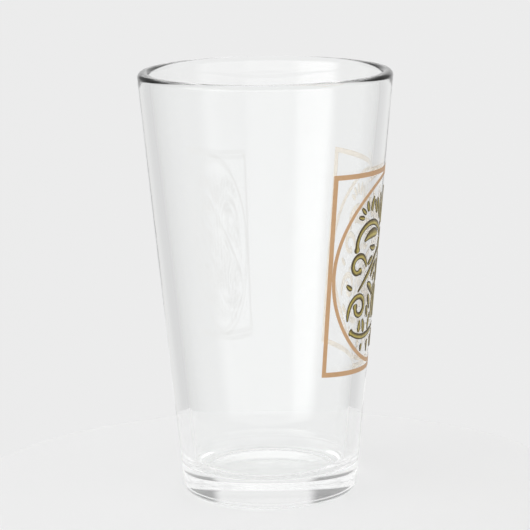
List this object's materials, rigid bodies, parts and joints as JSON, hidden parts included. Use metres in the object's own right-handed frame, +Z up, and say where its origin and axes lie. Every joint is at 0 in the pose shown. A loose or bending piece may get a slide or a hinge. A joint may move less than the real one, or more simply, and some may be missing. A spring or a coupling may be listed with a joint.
{
  "type": "pint glass",
  "caption": "Tapered clear pint glass with a rounded lip, heavy base and a wraparound square-and-ring scrollwork print.",
  "frame": {"origin": "centre of the foot, on the table plane", "axes": "+Z up along the glass's axis, +X through the middle of the print"},
  "size_m": [0.0888, 0.0888, 0.15],
  "materials": {
    "clear_glass": "polished",
    "white_ink": "satin",
    "copper_ink": "satin",
    "dark_ink": "satin",
    "gold_ink": "satin"
  },
  "bodies": {
    "root": {"glass_body": "clear_glass", "frame_underbase": "white_ink", "frame_ink": "copper_ink", "ring_underbase": "white_ink", "ring_ink": "copper_ink", "scrollwork_underbase": "white_ink", "scrollwork_outline": "dark_ink", "scrollwork_gold": "gold_ink"}
  },
  "joints": []
}
